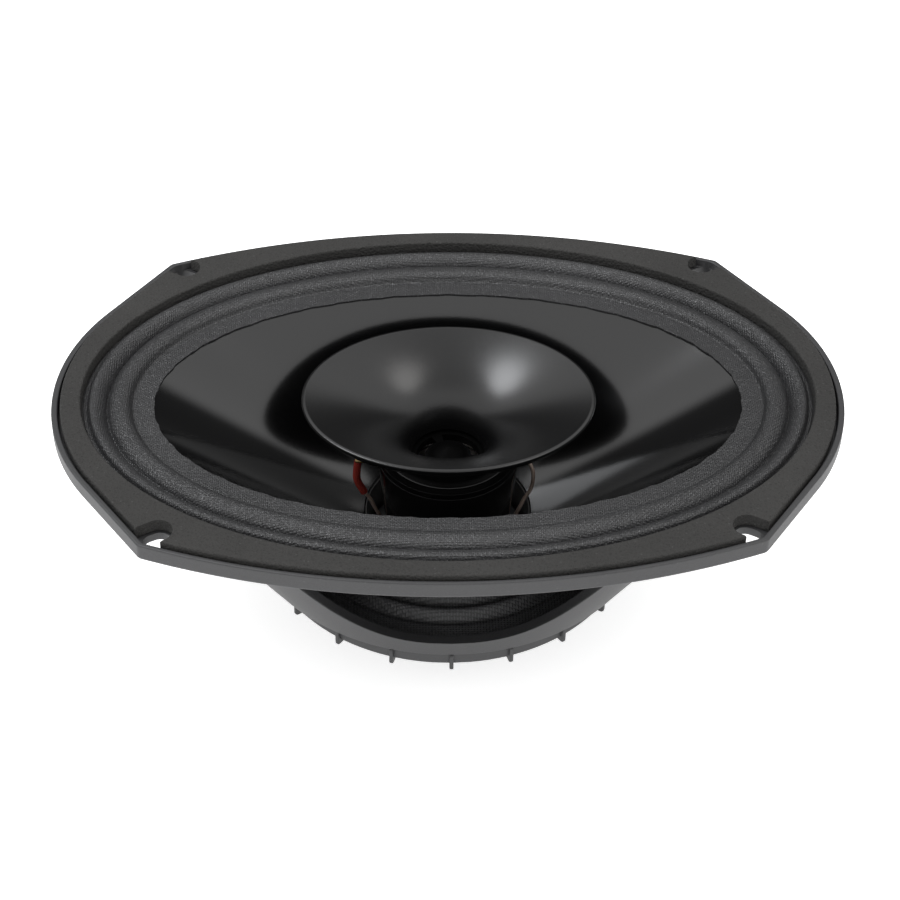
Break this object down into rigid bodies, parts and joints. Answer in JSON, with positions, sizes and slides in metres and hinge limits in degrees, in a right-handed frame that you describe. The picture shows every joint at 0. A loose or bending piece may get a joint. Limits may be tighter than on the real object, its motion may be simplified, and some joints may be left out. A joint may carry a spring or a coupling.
{
  "type": "coaxial car speaker",
  "caption": "Oval coaxial car speaker: glossy black cone, double-roll cloth surround, fixed oval treble horn, moulded basket, slotted corners and hidden compact motor.",
  "frame": {"origin": "centre of the flat rear face of the motor's cap, under the middle of the flange", "axes": "+X along the oval's long axis, +Y to the side with the terminals, +Z along the cone's axis towards the listener"},
  "size_m": [0.236, 0.1646, 0.0815],
  "materials": {
    "moulded": "satin moulded",
    "foam": "matte",
    "coated_cloth": "coated cloth",
    "gloss_cone": "mirror gloss",
    "spider_cloth": "woven",
    "foil": "black anodised",
    "copper": "enamelled wire",
    "black_steel": "satin black plate",
    "nickel_magnet": "nickel plated",
    "satin_horn": "satin",
    "gloss_housing": "gloss",
    "titanium": "satin foil",
    "bare_aluminium": "turned",
    "black_screw": "black zinc",
    "brass": "satin",
    "tinned_braid": "braided",
    "red_sleeve": "smooth",
    "black_sleeve": "smooth",
    "phenolic": "laminated board",
    "blue_sleeve": "shrink sleeve"
  },
  "bodies": {
    "frame": {"basket": "moulded", "front_gasket": "foam", "surround": "coated_cloth", "spider": "spider_cloth", "motor_screw_1": "black_screw", "motor_screw_2": "black_screw", "motor_screw_3": "black_screw", "motor_screw_4": "black_screw", "gap_ring": "black_steel", "yoke_cup": "black_steel", "magnet": "nickel_magnet", "pole_plate": "black_steel", "rear_cap": "moulded", "vent_screen": "black_screw", "horn": "satin_horn", "phase_plug": "satin_horn", "treble_housing": "gloss_housing", "treble_clamp_ring": "bare_aluminium", "treble_suspension": "titanium", "treble_gap_ring": "black_steel", "treble_pole": "black_steel", "treble_magnet": "nickel_magnet", "treble_yoke": "black_steel", "treble_post": "bare_aluminium", "treble_bolt": "black_screw", "terminal_board": "phenolic", "terminal_positive": "brass", "terminal_rivet_positive": "brass", "terminal_negative": "brass", "terminal_rivet_negative": "brass", "board_screw_1": "black_screw", "board_screw_2": "black_screw", "treble_tag_positive": "brass", "treble_tag_negative": "brass", "treble_sleeve_positive": "red_sleeve", "treble_lead_positive": "tinned_braid", "treble_lead_negative": "tinned_braid", "crossover_capacitor": "blue_sleeve", "capacitor_lead": "tinned_braid", "capacitor_clip": "black_sleeve", "tinsel_lead_positive": "tinned_braid", "tinsel_lead_negative": "tinned_braid"},
    "cone_assembly": {"cone": "gloss_cone", "voice_coil_former": "foil", "voice_coil_winding": "copper"},
    "treble_diaphragm": {"treble_dome": "titanium", "treble_voice_coil": "copper"}
  },
  "joints": [
    {"name": "cone_excursion", "type": "slide", "parent": "frame", "child": "cone_assembly", "axis": [0, 0, 1], "range_m": [-0.004, 0.004], "stiffness_N_per_m": 2600, "deforming": ["surround", "spider", "tinsel_lead_positive", "tinsel_lead_negative"]},
    {"name": "diaphragm_excursion", "type": "slide", "parent": "frame", "child": "treble_diaphragm", "axis": [0, 0, 1], "range_m": [-0.0003, 0.0003], "stiffness_N_per_m": 300, "deforming": ["treble_suspension"]}
  ]
}
